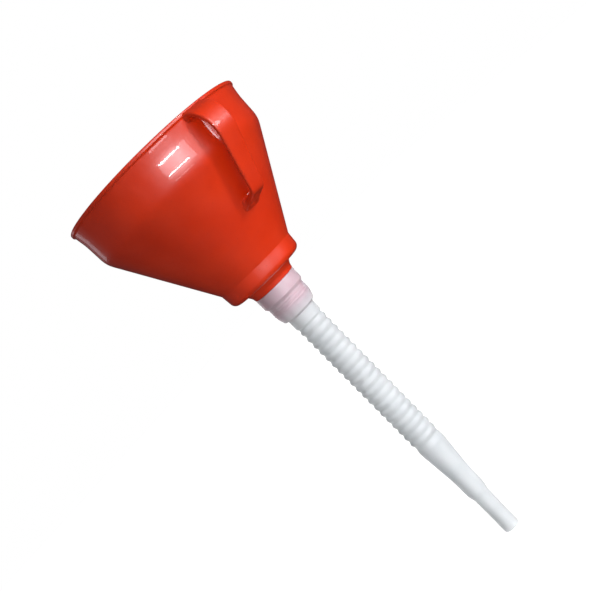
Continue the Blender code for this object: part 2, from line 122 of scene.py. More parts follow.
# ---- spout ----------------------------------------------------------------------------------
RING_COUNT = 19
RING_PEAK_RADIUS = 11.9 * MM
RING_VALLEY_RADIUS = 10.7 * MM
SPOUT_WALL = 1.2 * MM
COLLAR_TOP_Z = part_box("spout_collar")[1].z
COLLAR_END_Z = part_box("spout_collar")[0].z
BAND_TOP_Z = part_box("spout_band")[1].z
BAND_RADIUS = 12.0 * MM
BEND_PLACES = [j["pos_m"][2] for j in frame["joints"] if j["name"].startswith("spout_bend")]
RING_PITCH = BEND_PLACES[0] - BEND_PLACES[1]
NOZZLE_END_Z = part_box("spout_nozzle")[0].z
NOZZLE_BULGE_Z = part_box("spout_nozzle")[1].z - 5.6 * MM
NOZZLE_BULGE_RADIUS = 11.55 * MM
HOSE_TOP_Z = (COLLAR_END_Z + BAND_TOP_Z) / 2
HOSE_SHOULDER = 2.2 * MM

ARC_STEP = math.radians(9)


# ---- outlines -------------------------------------------------------------------------------
def unit(x, z):
    length = math.hypot(x, z)
    return x / length, z / length


def rounded(corners):
    """(radius, z, fillet) corners as a line of points, with an arc at each corner."""
    line = []
    last = len(corners) - 1
    for index, (x, z, fillet) in enumerate(corners):
        if fillet == 0 or index in (0, last):
            line.append((x, z))
            continue
        before = unit(corners[index - 1][0] - x, corners[index - 1][1] - z)
        after = unit(corners[index + 1][0] - x, corners[index + 1][1] - z)
        half = math.acos(max(-1.0, min(1.0, before[0] * after[0] + before[1] * after[1]))) / 2
        middle = unit(before[0] + after[0], before[1] + after[1])
        centre = (x + middle[0] * fillet / math.sin(half), z + middle[1] * fillet / math.sin(half))
        tangent = fillet / math.tan(half)
        start = math.atan2(z + before[1] * tangent - centre[1], x + before[0] * tangent - centre[0])
        end = math.atan2(z + after[1] * tangent - centre[1], x + after[0] * tangent - centre[0])
        sweep = (end - start + math.pi) % (2 * math.pi) - math.pi
        steps = max(2, math.ceil(abs(sweep) / ARC_STEP))
        for step in range(steps + 1):
            angle = start + sweep * step / steps
            line.append((
                centre[0] + fillet * math.cos(angle),
                centre[1] + fillet * math.sin(angle),
            ))
    return line


def subdivided(line, longest, closed=True):
    """The line with points added so that no stretch is longer than the given length."""
    ends = line[1:] + line[:1] if closed else line[1:]
    made = []
    for (x0, z0), (x1, z1) in zip(line, ends):
        count = max(1, math.ceil(math.hypot(x1 - x0, z1 - z0) / longest))
        made += [(x0 + (x1 - x0) * i / count, z0 + (z1 - z0) * i / count) for i in range(count)]
    return made if closed else made + [line[-1]]


# ---- mesh making ----------------------------------------------------------------------------
def add_mesh(name, points, faces, surface, sharp=40):
    mesh = bpy.data.meshes.new(name)
    mesh.from_pydata([tuple(p) for p in points], [], faces)
    mesh.validate()
    edited = bmesh.new()
    edited.from_mesh(mesh)
    bmesh.ops.recalc_face_normals(edited, faces=edited.faces)
    edited.to_mesh(mesh)
    edited.free()
    mesh.shade_smooth()
    mesh.set_sharp_from_angle(angle=math.radians(sharp))
    mesh.materials.append(surface)
    made = bpy.data.objects.new(name, mesh)
    bpy.context.scene.collection.objects.link(made)
    return made


def lathe(line, sides, closed=True):
    """Points and faces of a line of (radius, z) turned about Z. Its outer side runs downwards."""
    angles = np.linspace(0, 2 * math.pi, sides, endpoint=False)
    profile = np.array(line)
    points = np.stack([
        np.outer(profile[:, 0], np.cos(angles)),
        np.outer(profile[:, 0], np.sin(angles)),
        np.repeat(profile[:, 1:], sides, axis=1),
    ], axis=2).reshape(-1, 3)
    count = len(line)
    faces = []
    for row in range(count if closed else count - 1):
        below = (row + 1) % count
        for side in range(sides):
            beside = (side + 1) % sides
            faces.append((
                row * sides + side, below * sides + side,
                below * sides + beside, row * sides + beside,
            ))
    return points, faces


def turned(name, line, sides, surface, closed=True):
    points, faces = lathe(line, sides, closed)
    return add_mesh(name, points, faces, surface)


def loft(loops, capped=True):
    """Points and faces of a skin through loops that all have the same number of points."""
    count = len(loops[0])
    points = [p for loop in loops for p in loop]
    faces = []
    for row in range(len(loops) - 1):
        for index in range(count):
            beside = (index + 1) % count
            faces.append((
                row * count + index, row * count + beside,
                (row + 1) * count + beside, (row + 1) * count + index,
            ))
    if capped:
        faces.append(tuple(range(count - 1, -1, -1)))
        faces.append(tuple((len(loops) - 1) * count + index for index in range(count)))
    return points, faces


# ---- bowl -----------------------------------------------------------------------------------
def wall_radius(z):
    """The bowl's outer radius at a height on its skirt or cone."""
    if z >= CREASE_Z:
        return CREASE_RADIUS + (z - CREASE_Z) * math.tan(SKIRT_DRAFT)
    return CREASE_RADIUS - (CREASE_Z - z) * math.tan(CONE_HALF_ANGLE)


def bowl_outer():
    """The outside from the lip's top edge down to the spigot's end."""
    under_lip = RIM_Z - LIP_HEIGHT
    ridge_pitch = (SPIGOT_STEP_Z - SPIGOT_END_Z) / (GRIP_RIDGE_COUNT + 1)
    corners = [
        (LIP_CREST_RADIUS, RIM_Z, 0),
        (MOUTH_RADIUS, RIM_Z, 0.9 * MM),
        (MOUTH_RADIUS, under_lip + 0.2 * MM, 0.9 * MM),
        (wall_radius(under_lip) + 0.35 * MM, under_lip - 0.6 * MM, 1.6 * MM),
        (wall_radius(RIM_Z - FLARE_HEIGHT) - FLARE_HOLLOW, RIM_Z - FLARE_HEIGHT, 40 * MM),
        (CREASE_RADIUS, CREASE_Z, 20 * MM),
        (SHOULDER_RADIUS, SHOULDER_HEIGHT, 1.6 * MM),
        (SHOULDER_FOOT_RADIUS, 0, 5 * MM),
        (NECK_TOP_RADIUS, 0, 2.2 * MM),
        (NECK_RADIUS + 0.55 * MM, SPIGOT_TOP_Z + 3.2 * MM, 8 * MM),
        (NECK_RADIUS, SPIGOT_TOP_Z, 0.4 * MM),
        (SPIGOT_UPPER_RADIUS, SPIGOT_TOP_Z, 0.2 * MM),
        (SPIGOT_UPPER_RADIUS, SPIGOT_STEP_Z, 0.5 * MM),
        (SPIGOT_LOWER_RADIUS, SPIGOT_STEP_Z, 0.3 * MM),
    ]
    for index in range(GRIP_RIDGE_COUNT):
        middle = SPIGOT_STEP_Z - ridge_pitch * (index + 1)
        corners += [
            (SPIGOT_LOWER_RADIUS, middle + 0.6 * MM, 0),
            (SPIGOT_LOWER_RADIUS + GRIP_RIDGE_HEIGHT, middle, 0.3 * MM),
            (SPIGOT_LOWER_RADIUS, middle - 0.6 * MM, 0),
        ]
    corners += [
        (SPIGOT_LOWER_RADIUS, SPIGOT_END_Z, 0.5 * MM),
        (SPIGOT_LOWER_RADIUS - BOWL_WALL / 2, SPIGOT_END_Z, 0),
    ]
    return rounded(corners)


def bowl_inner():
    """The inside from the spigot's end up to the lip's top edge."""
    slanted = BOWL_WALL / math.cos(CONE_HALF_ANGLE)
    return rounded([
        (SPIGOT_LOWER_RADIUS - BOWL_WALL / 2, SPIGOT_END_Z, 0),
        (SPIGOT_LOWER_RADIUS - BOWL_WALL, SPIGOT_END_Z, 0.5 * MM),
        (SPIGOT_LOWER_RADIUS - BOWL_WALL, SPIGOT_STEP_Z + BOWL_WALL, 0.4 * MM),
        (SPIGOT_UPPER_RADIUS - BOWL_WALL, SPIGOT_STEP_Z + BOWL_WALL, 0.4 * MM),
        (SPIGOT_UPPER_RADIUS - BOWL_WALL, SPIGOT_TOP_Z + BOWL_WALL, 0.4 * MM),
        (NECK_RADIUS - BOWL_WALL, SPIGOT_TOP_Z + BOWL_WALL, 0.4 * MM),
        (NECK_TOP_RADIUS - BOWL_WALL - 0.6 * MM, BOWL_WALL, 1.4 * MM),
        (SHOULDER_FOOT_RADIUS - BOWL_WALL, BOWL_WALL, 3.2 * MM),
        (SHOULDER_RADIUS - BOWL_WALL, SHOULDER_HEIGHT + 0.9 * MM, 1.2 * MM),
        (CREASE_RADIUS - slanted + 0.3 * MM, CREASE_Z, 18 * MM),
        (SKIRT_TOP_RADIUS - BOWL_WALL - 0.3 * MM, RIM_Z - 4 * MM, 20 * MM),
        (SKIRT_TOP_RADIUS - BOWL_WALL + 0.1 * MM, RIM_Z, 0.7 * MM),
        (LIP_CREST_RADIUS, RIM_Z, 0),
    ])


def make_bowl(surface):
    line = bowl_outer()[:-1] + bowl_inner()[:-1]
    bowl = turned("bowl_moulding", subdivided(line, 3.5 * MM), 240, surface)
    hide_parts("bowl")
    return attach(bowl, "bowl")


# ---- handle ---------------------------------------------------------------------------------
def handle_path():
    """The strap's centre line in the XZ plane, from the lip round to the cone."""
    root_z = RIM_Z - HANDLE_ROOT_INSET
    top_z = root_z - HANDLE_TOP_DROP
    foot_z = root_z - HANDLE_LENGTH
    end_z = foot_z - HANDLE_FOOT_DROP
    return rounded([
        (wall_radius(root_z), root_z, 0),
        (wall_radius(top_z) + HANDLE_TOP_SPAN, top_z, HANDLE_TOP_BEND),
        (wall_radius(foot_z) + HANDLE_FOOT_SPAN, foot_z, HANDLE_FOOT_BEND),
        (wall_radius(end_z), end_z, 0),
    ])


def spread_out(path, near, far):
    """Stations along a path: close together near its two ends, and further apart between."""
    points = np.array(path)
    run = np.concatenate([[0], np.cumsum(np.hypot(*np.diff(points, axis=0).T))])
    total = run[-1]
    places = [0.0]
    while places[-1] < total:
        edge = min(places[-1], total - places[-1])
        places.append(places[-1] + near + (far - near) * min(1, edge / (12 * MM)))
    places = np.array(places) * total / places[-1]
    return places, np.stack([np.interp(places, run, points[:, i]) for i in (0, 1)], axis=1), total


def strap_outline(half, count=56):
    """A strap's cross-section with round edges: points and outward directions (across, out)."""
    edge = HANDLE_EDGE
    thick = HANDLE_THICKNESS / 2
    flat = 2 * (half - edge)
    arc = math.pi * edge
    sides = 2 * (thick - edge)
    total = 2 * (flat + arc + sides)
    made = []
    for index in range(count):
        run = total * index / count
        quarter = arc / 2
        spot = (0, 0)
        facing = (0, 1)
        for corner in range(4):
            length = flat if corner % 2 == 0 else sides
            turn = -corner * math.pi / 2
            along = (math.cos(turn), math.sin(turn))
            normal = (-along[1], along[0])
            centre_x = (half - edge) * (-1, 1, 1, -1)[corner]
            centre_z = (thick - edge) * (1, 1, -1, -1)[corner]
            if run < length:
                spot = (
                    centre_x + normal[0] * edge + along[0] * run,
                    centre_z + normal[1] * edge + along[1] * run,
                )
                facing = normal
                break
            run -= length
            if run < quarter:
                angle = turn + math.pi / 2 - run / edge
                facing = (math.cos(angle), math.sin(angle))
                next_x = (half - edge) * (1, 1, -1, -1)[corner]
                next_z = (thick - edge) * (1, -1, -1, 1)[corner]
                spot = (next_x + facing[0] * edge, next_z + facing[1] * edge)
                break
            run -= quarter
        made.append((spot, facing))
    return made


def height_above_wall(x, y, z):
    """How far a point stands off the skirt or cone, square to that wall."""
    slope = math.cos(SKIRT_DRAFT) if z >= CREASE_Z else math.cos(CONE_HALF_ANGLE)
    return (math.hypot(x, y) - wall_radius(z)) * slope


def fillet_growth(height, reach):
    """How far a fillet stands out from a post at a height above the wall that it grows from."""
    height = max(height, 0)
    return height + reach - 2 * math.sqrt(reach * height) if height < reach else 0


def make_handle(surface):
    places, centres, total = spread_out(handle_path(), 0.18 * MM, 1.3 * MM)
    loops = []
    for index, (x, z) in enumerate(centres):
        before = centres[max(index - 1, 0)]
        after = centres[min(index + 1, len(centres) - 1)]
        along = unit(*(after - before))
        out = np.array((-along[1], along[0]))
        place = places[index]
        at_root = place < total / 2
        to_end = place if at_root else total - place
        draft = SKIRT_DRAFT if at_root else CONE_HALF_ANGLE
        wall = np.array((math.sin(draft), math.cos(draft))) * (1 if at_root else -1)
        share = max(0.0, 1 - to_end / HANDLE_TURN_IN)
        share = share * share * (3 - 2 * share)
        out = out * (1 - share) + wall * share
        out = out / np.linalg.norm(out)
        fillets = ROOT_FILLETS if at_root else FOOT_FILLETS
        drop = (RIM_Z - z) / HANDLE_LENGTH
        half = (HANDLE_TOP_WIDTH + (HANDLE_FOOT_WIDTH - HANDLE_TOP_WIDTH) * min(1, drop)) / 2
        loop = []
        for (across, away), (side, face) in strap_outline(half):
            facing = "inner" if face < 0 else "outer"
            reach = fillets["side"] * side ** 2 + fillets[facing] * face ** 2
            growth = 0
            for _ in range(8):
                spot_x = x + out[0] * (away + face * growth)
                spot_z = z + out[1] * (away + face * growth)
                spot_y = across + side * growth
                height = height_above_wall(spot_x, spot_y, spot_z)
                growth += (fillet_growth(height, reach) - growth) * 0.6
            sunk = min(to_end / (1.2 * MM), 1)
            sagitta = wall_radius(z) - math.sqrt(wall_radius(z) ** 2 - spot_y ** 2)
            spot_x -= (sagitta + HANDLE_SINK) * (1 - sunk)
            loop.append((spot_x, spot_y, spot_z))
        loops.append(loop)
    points, faces = loft(loops)
    handle = add_mesh("handle_strap", points, faces, surface)
    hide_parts("handle")
    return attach(handle, "bowl")


# ---- strainer -------------------------------------------------------------------------------
def make_strainer_frame(surface):
    """The ring, three bars and the knob, joined into one skin."""
    wall = 2.2 * MM
    inner = STRAINER_RADIUS - wall
    window = inner - 3.0 * MM
    floor_z = STRAINER_BASE_Z + 2.0 * MM
    bead_z = GAUZE_Z + 0.75 * MM
    ring_line = rounded([
        (STRAINER_RADIUS - wall / 2, STRAINER_TOP_Z, 0),
        (STRAINER_RADIUS, STRAINER_TOP_Z, 0.8 * MM),
        (STRAINER_RADIUS, STRAINER_BASE_Z, 3.4 * MM),
        (window, STRAINER_BASE_Z, 0.4 * MM),
        (window, floor_z, 0.4 * MM),
        (inner - 2.4 * MM, floor_z + 0.2 * MM, 0),
        (inner - 2.4 * MM, bead_z, 0.4 * MM),
        (inner, bead_z + 0.2 * MM, 0.5 * MM),
        (inner, STRAINER_TOP_Z, 0.8 * MM),
        (STRAINER_RADIUS - wall / 2, STRAINER_TOP_Z, 0),
    ])[:-1]
    ring = turned("strainer_frame_fine", ring_line, 144, surface)
    for index in range(3):
        combine(ring, make_bar(index, window + 1.4 * MM, floor_z, surface))
    combine(ring, make_knob(floor_z, surface))
    ring.data.shade_smooth()
    ring.data.set_sharp_from_angle(angle=math.radians(40))
    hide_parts("strainer_frame")
    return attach(ring, "strainer")


def make_bar(index, reach, top, surface):
    """One bar under the gauze, from the hub out into the ring, with rounded edges."""
    turn = 2 * math.pi * index / 3
    along = np.array((math.cos(turn), math.sin(turn)))
    side = np.array((-along[1], along[0]))
    half, low = 1.2 * MM, STRAINER_BASE_Z + 0.25 * MM
    section = []
    for corner, (sx, sz) in enumerate(((1, 1), (-1, 1), (-1, -1), (1, -1))):
        for step in range(5):
            angle = corner * math.pi / 2 + step * math.pi / 8
            section.append((
                sx * (half - 0.5 * MM) + 0.5 * MM * math.cos(angle),
                (top + low) / 2 + sz * ((top - low) / 2 - 0.5 * MM) + 0.5 * MM * math.sin(angle),
            ))
    loops = []
    for run in np.linspace(1.5 * MM, reach, 12):
        flare = 1 + 0.5 * max(0, 1 - (reach - run) / (5 * MM)) ** 2
        loops.append([
            (*(along * run + side * across * flare), up) for across, up in section
        ])
    points, faces = loft(loops)
    return add_mesh(f"bar_{index}", points, faces, surface)


def make_knob(floor_z, surface):
    line = rounded([
        (0.02 * MM, KNOB_TOP_Z, 0),
        (4.2 * MM, KNOB_TOP_Z - 0.1 * MM, 1.0 * MM),
        (4.2 * MM, KNOB_TOP_Z - 3.0 * MM, 1.0 * MM),
        (2.6 * MM, KNOB_TOP_Z - 4.6 * MM, 1.0 * MM),
        (2.6 * MM, floor_z + 0.1 * MM, 0.9 * MM),
        (5.0 * MM, floor_z, 0.4 * MM),
        (5.0 * MM, STRAINER_BASE_Z, 0.4 * MM),
        (0.02 * MM, STRAINER_BASE_Z, 0),
    ])
    return turned("knob", line, 48, surface)


def combine(target, tool):
    """Join a tool's shape onto the target, and remove the tool."""
    modifier = target.modifiers.new("join", "BOOLEAN")
    modifier.operation = "UNION"
    modifier.solver = "EXACT"
    modifier.object = tool
    bpy.context.view_layer.update()
    joined = bpy.data.meshes.new_from_object(
        target.evaluated_get(bpy.context.evaluated_depsgraph_get())
    )
    target.modifiers.clear()
    target.data = joined
    bpy.data.objects.remove(tool, do_unlink=True)


def make_gauze(surface):
    """A plain weave of round wires inside the strainer's ring, with a hole for the knob."""
    reach = GAUZE_RADIUS - 0.6 * MM
    hole = 2.75 * MM
    lines = int(reach / GAUZE_PITCH)
    points, faces = [], []
    for lengthwise in (True, False):
        for index in range(-lines, lines + 1):
            off = index * GAUZE_PITCH
            half = math.sqrt(max(reach ** 2 - off ** 2, 0))
            gap = math.sqrt(hole ** 2 - off ** 2) if abs(off) < hole else 0
            spans = [(-half, -gap), (gap, half)] if gap else [(-half, half)]
            for start, end in spans:
                if end - start > GAUZE_PITCH:
                    weave_wire(points, faces, off, start, end, index, lengthwise)
    gauze = add_mesh("gauze_weave", points, faces, surface, sharp=180)
    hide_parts("strainer_gauze")
    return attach(gauze, "strainer")


def weave_wire(points, faces, off, start, end, index, lengthwise):
    """Add one wire that waves over and under the wires it crosses."""
    count = max(2, int((end - start) / (GAUZE_PITCH / 3)))
    phase = math.pi * (index % 2) + (0 if lengthwise else math.pi)
    loops = []
    for step in range(count + 1):
        run = start + (end - start) * step / count
        lift = GAUZE_WIRE * 1.02 * math.cos(math.pi * run / GAUZE_PITCH + phase)
        loop = []
        for corner in range(5):
            angle = 2 * math.pi * corner / 5
            across = off + GAUZE_WIRE * math.cos(angle)
            up = GAUZE_Z + lift + GAUZE_WIRE * math.sin(angle)
            loop.append((run, across, up) if lengthwise else (across, run, up))
        loops.append(loop if not lengthwise else loop[::-1])
    more_points, more_faces = loft(loops)
    base = len(points)
    points += more_points
    faces += [tuple(base + corner for corner in face) for face in more_faces]


# ---- spout ----------------------------------------------------------------------------------
def hose_radius(z):
    """The hose's outer radius between the plain band and the nozzle's bulge."""
    phase = (z - BEND_PLACES[0]) / RING_PITCH
    wave = math.sin(math.pi * phase) ** 2
    return RING_VALLEY_RADIUS + (RING_PEAK_RADIUS - RING_VALLEY_RADIUS) * wave ** 0.85


def make_collar(surface):
    """The socket that pushes over the spigot: two stepped bands, then a cone to the hose."""
    step_z = COLLAR_TOP_Z - 10.3 * MM
    face_z = COLLAR_END_Z + 3.2 * MM
    outer = [
        (17.5 * MM, COLLAR_TOP_Z, 0),
        (18.3 * MM, COLLAR_TOP_Z, 0.4 * MM),
        (18.35 * MM, step_z + 1.2 * MM, 1.4 * MM),
        (16.75 * MM, step_z - 1.0 * MM, 1.0 * MM),
    ]
    for index in range(3):
        middle = step_z - (2.9 + 2.3 * index) * MM
        outer += [
            (16.55 * MM, middle + 0.75 * MM, 0.5 * MM),
            (16.85 * MM, middle, 0.5 * MM),
            (16.5 * MM, middle - 0.75 * MM, 0.5 * MM),
        ]
    outer += [
        (16.4 * MM, COLLAR_TOP_Z - 20.4 * MM, 3.6 * MM),
        (14.7 * MM, face_z, 1.3 * MM),
        (BAND_RADIUS, face_z - 1.2 * MM, 0.7 * MM),
        (BAND_RADIUS, HOSE_TOP_Z, 0),
    ]
    inner = [
        (BAND_RADIUS - SPOUT_WALL, HOSE_TOP_Z, 0),
        (BAND_RADIUS - SPOUT_WALL, face_z - 0.7 * MM, 0.7 * MM),
        (13.5 * MM, face_z + 0.6 * MM, 1.6 * MM),
        (15.3 * MM, SPIGOT_END_Z - 0.3 * MM, 1.0 * MM),
        (15.3 * MM, SPIGOT_STEP_Z - 0.3 * MM, 0.3 * MM),
        (17.0 * MM, SPIGOT_STEP_Z - 0.3 * MM, 0.3 * MM),
        (17.0 * MM, COLLAR_TOP_Z, 0.3 * MM),
        (17.5 * MM, COLLAR_TOP_Z, 0),
    ]
    line = rounded(outer) + rounded(inner)[:-1]
    collar = turned("spout_collar_fine", subdivided(line, 1.2 * MM), 144, surface)
    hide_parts("spout_collar")
    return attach(collar, "spout_collar")


def hose_heights(top, bottom):
    """Heights down one stretch of hose, with a hair-thin first and last step."""
    edge = 0.02 * MM
    count = 20
    between = [top - edge - (top - bottom - 2 * edge) * i / count for i in range(count + 1)]
    return [top] + between + [bottom]


def make_hose(surface):
    """Twenty stretches from peak to peak, each round its own valley at one of the spout's bend
    places.
    """
    middle = [f"spout_ring_{index + 1:02d}" for index in range(RING_COUNT)]
    bodies = ["spout_band"] + middle + ["spout_nozzle"]
    for index, valley in enumerate(BEND_PLACES):
        first = index == 0
        last = index == len(BEND_PLACES) - 1
        top = HOSE_TOP_Z if first else valley + RING_PITCH / 2
        bottom = NOZZLE_BULGE_Z if last else valley - RING_PITCH / 2
        outer = []
        for z in hose_heights(top, bottom):
            if first and z > valley + HOSE_SHOULDER:
                outer.append((BAND_RADIUS, z))
            elif first and z > valley:
                share = (z - valley) / HOSE_SHOULDER
                rise = (BAND_RADIUS - RING_VALLEY_RADIUS) * (share * share * (3 - 2 * share))
                outer.append((RING_VALLEY_RADIUS + rise, z))
            elif last and z < valley:
                share = (valley - z) / (valley - NOZZLE_BULGE_Z)
                swell = math.sin(math.pi / 2 * share) ** 2
                rise = (NOZZLE_BULGE_RADIUS - RING_VALLEY_RADIUS) * swell
                outer.append((RING_VALLEY_RADIUS + rise, z))
            else:
                outer.append((hose_radius(z), z))
        inner = [(radius - SPOUT_WALL, z) for radius, z in reversed(outer)]
        name = f"hose_bend_{index + 1:02d}"
        hose = turned(name, outer + inner, 96, surface)
        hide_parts(bodies[index])
        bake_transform(hose)


def make_nozzle(surface):
    """The long taper from the bulge, the waist, the short step and the narrow tip."""
    waist_z = NOZZLE_BULGE_Z - 33.4 * MM
    step_z = waist_z - 17.4 * MM
    tip_z = step_z - 5.8 * MM
    outer = rounded([
        (NOZZLE_BULGE_RADIUS, NOZZLE_BULGE_Z, 0),
        (NOZZLE_BULGE_RADIUS, NOZZLE_BULGE_Z - 1.6 * MM, 5.0 * MM),
        (8.8 * MM, waist_z, 30 * MM),
        (8.55 * MM, step_z, 1.6 * MM),
        (6.98 * MM, tip_z, 1.6 * MM),
        (6.8 * MM, NOZZLE_END_Z, 0.6 * MM),
        (6.2 * MM, NOZZLE_END_Z, 0),
    ])
    inner = rounded([
        (6.2 * MM, NOZZLE_END_Z, 0),
        (5.6 * MM, NOZZLE_END_Z, 0.4 * MM),
        (5.75 * MM, tip_z, 1.6 * MM),
        (7.35 * MM, step_z, 1.6 * MM),
        (7.55 * MM, waist_z, 30 * MM),
        (NOZZLE_BULGE_RADIUS - SPOUT_WALL, NOZZLE_BULGE_Z - 1.6 * MM, 5.0 * MM),
        (NOZZLE_BULGE_RADIUS - SPOUT_WALL, NOZZLE_BULGE_Z, 0),
    ])
    line = subdivided(outer[:-1] + inner, 1.6 * MM)
    nozzle = turned("spout_nozzle_fine", line, 96, surface)
    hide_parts("spout_nozzle")
    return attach(nozzle, "spout_nozzle")


# ---- materials ------------------------------------------------------------------------------
class Surface:
    """A node material round one Principled shader, with helpers that add and link nodes."""

    def __init__(self, name, roughness, metallic=0.0):
        self.material = bpy.data.materials.new(name)
        self.material.use_nodes = True
        self.tree = self.material.node_tree
        self.shader = self.tree.nodes["Principled BSDF"]
        self.shader.inputs["Roughness"].default_value = roughness
        self.shader.inputs["Metallic"].default_value = metallic
        self.place = self.add("ShaderNodeTexCoord").outputs["Object"]

    def add(self, kind, **settings):
        node = self.tree.nodes.new(kind)
        for name, value in settings.items():
            setattr(node, name, value)
        return node

    def link(self, source, target):
        self.tree.links.new(source, target)

    def noise(self, scale, detail=3.0, roughness=0.55, stretch=(1, 1, 1)):
        mapping = self.add("ShaderNodeMapping")
        mapping.inputs["Scale"].default_value = stretch
        self.link(self.place, mapping.inputs["Vector"])
        node = self.add("ShaderNodeTexNoise")
        node.inputs["Scale"].default_value = scale
        node.inputs["Detail"].default_value = detail
        node.inputs["Roughness"].default_value = roughness
        self.link(mapping.outputs["Vector"], node.inputs["Vector"])
        return node.outputs["Fac"]

    def remap(self, value, low, high, to_low, to_high):
        node = self.add("ShaderNodeMapRange", clamp=True)
        numbers = {"From Min": low, "From Max": high, "To Min": to_low, "To Max": to_high}
        for name, number in numbers.items():
            node.inputs[name].default_value = number
        self.link(value, node.inputs["Value"])
        return node.outputs["Result"]

    def mix(self, share, first, second):
        node = self.add("ShaderNodeMix", data_type="RGBA")
        for socket, value in ((node.inputs[6], first), (node.inputs[7], second)):
            if isinstance(value, tuple):
                socket.default_value = (*value, 1)
            else:
                self.link(value, socket)
        self.link(share, node.inputs[0])
        return node.outputs[2]

    def sum(self, first, second, operation="ADD"):
        node = self.add("ShaderNodeMath", operation=operation)
        self.link(first, node.inputs[0])
        if isinstance(second, (int, float)):
            node.inputs[1].default_value = second
        else:
            self.link(second, node.inputs[1])
        return node.outputs[0]

    def bump(self, height, distance, strength=1.0):
        node = self.add("ShaderNodeBump")
        node.inputs["Strength"].default_value = strength
        node.inputs["Distance"].default_value = distance
        self.link(height, node.inputs["Height"])
        self.link(node.outputs["Normal"], self.shader.inputs["Normal"])


def scratches(surface, scale, turn, width):
    """Thin broken lines in one direction, as 0 to 1."""
    mapping = surface.add("ShaderNodeMapping")
    mapping.inputs["Rotation"].default_value = turn
    mapping.inputs["Scale"].default_value = (1, 1, 0.04)
    surface.link(surface.place, mapping.inputs["Vector"])
    node = surface.add("ShaderNodeTexNoise")
    node.inputs["Scale"].default_value = scale
    node.inputs["Detail"].default_value = 2
    surface.link(mapping.outputs["Vector"], node.inputs["Vector"])
    ridge = surface.sum(node.outputs["Fac"], 0.5, "SUBTRACT")
    ridge = surface.sum(ridge, 0.0, "ABSOLUTE")
    return surface.remap(ridge, 0.0, width, 1.0, 0.0)


def make_red():
    """Glossy moulded plastic: slight colour drift, faint scuffs and an uneven shine."""
    surface = Surface("orange_red_plastic_fine", 0.3)
    drift = surface.remap(surface.noise(28, 3), 0.3, 0.7, 0.0, 1.0)
    colour = surface.mix(drift, (0.60, 0.024, 0.0010), (0.68, 0.032, 0.0018))
    specks = surface.remap(surface.noise(900, 1), 0.66, 0.8, 0.0, 0.35)
    colour = surface.mix(specks, colour, (0.42, 0.018, 0.001))
    surface.link(colour, surface.shader.inputs["Base Color"])
    scuff_zones = surface.remap(surface.noise(22, 2), 0.5, 0.68, 0.0, 1.0)
    lines = surface.sum(
        scratches(surface, 260, (0.4, 1.1, 0.3), 0.02),
        scratches(surface, 220, (1.2, 0.3, 2.0), 0.015), "MAXIMUM",
    )
    scuffs = surface.sum(lines, scuff_zones, "MULTIPLY")
    uneven = surface.remap(surface.noise(60, 4), 0.3, 0.7, 0.30, 0.40)
    roughness = surface.sum(uneven, surface.sum(scuffs, 0.18, "MULTIPLY"))
    surface.link(roughness, surface.shader.inputs["Roughness"])
    ripple = surface.noise(75, 2, stretch=(1, 1, 0.7))
    peel = surface.sum(surface.noise(900, 2), 0.05, "MULTIPLY")
    height = surface.sum(surface.sum(ripple, peel), surface.sum(scuffs, -0.04, "MULTIPLY"))
    surface.bump(height, 0.00035, 0.5)
    surface.shader.inputs["Coat Weight"].default_value = 0.35
    surface.shader.inputs["Coat Roughness"].default_value = 0.025
    return surface.material


def make_white(name="natural_plastic_fine", spigot_show_through=False):
    """Natural polyethylene: milky and satin. On the collar it is pinkish and darker where the red
    spigot is close behind it: a painted show-through and painted shade of the spigot in the base
    colour.
    """
    surface = Surface(name, 0.36)
    cloud = surface.remap(surface.noise(60, 3), 0.3, 0.7, 0.0, 1.0)
    colour = surface.mix(cloud, (0.67, 0.705, 0.735), (0.75, 0.78, 0.81))
    streaks = surface.remap(surface.noise(160, 3, stretch=(1, 1, 0.06)), 0.45, 0.75, 0.0, 0.35)
    colour = surface.mix(streaks, colour, (0.80, 0.825, 0.84))
    if spigot_show_through:
        # Painted show-through and shade: pink-grey is mixed into the colour by height where the red
        # spigot sits behind the collar wall, with blotches.
        split = surface.add("ShaderNodeSeparateXYZ")
        surface.link(surface.place, split.inputs[0])
        low, high = SPIGOT_END_Z - 11 * MM, SPIGOT_END_Z + 1 * MM
        behind = surface.remap(split.outputs["Z"], low, high, 0.0, 1.0)
        blotch = surface.remap(surface.noise(130, 3), 0.3, 0.7, 0.75, 1.0)
        behind = surface.sum(behind, blotch, "MULTIPLY")
        colour = surface.mix(behind, colour, (0.66, 0.53, 0.61))
    surface.link(colour, surface.shader.inputs["Base Color"])
    roughness = surface.remap(surface.noise(90, 3), 0.3, 0.7, 0.30, 0.46)
    surface.link(roughness, surface.shader.inputs["Roughness"])
    swell = surface.noise(170, 2)
    grain = surface.sum(surface.noise(1100, 2), 0.08, "MULTIPLY")
    surface.bump(surface.sum(swell, grain), 0.0003, 0.5)
    surface.shader.inputs["Alpha"].default_value = 0.62
    surface.shader.inputs["Subsurface Weight"].default_value = 0.55
    surface.shader.inputs["Subsurface Radius"].default_value = (1.0, 1.0, 1.0)
    surface.shader.inputs["Subsurface Scale"].default_value = 0.003
    return surface.material


def make_brass():
    """Drawn brass wire, slightly tarnished in patches."""
    surface = Surface("brass_gauze_fine", 0.35, 1.0)
    tarnish = surface.remap(surface.noise(90, 4), 0.4, 0.7, 0.0, 1.0)
    colour = surface.mix(tarnish, (0.80, 0.60, 0.27), (0.55, 0.40, 0.18))
    surface.link(colour, surface.shader.inputs["Base Color"])
    surface.link(surface.remap(tarnish, 0, 1, 0.28, 0.5), surface.shader.inputs["Roughness"])
    surface.bump(surface.noise(3000, 2), 0.00002, 0.4)
    return surface.material


# ---- stage ----------------------------------------------------------------------------------
CAMERA_PLACE = Vector((0.5371, -0.3397, 0.0446))
CAMERA_BACK = Vector((0.8351, -0.5381, 0.1148))
CAMERA_ROLL = math.radians(-44.5)
CAMERA_LENS = 52.2
CAMERA_SENSOR = 36
FLOOR_DROP = 1.0 * MM
FLOOR_REACH = 2.5

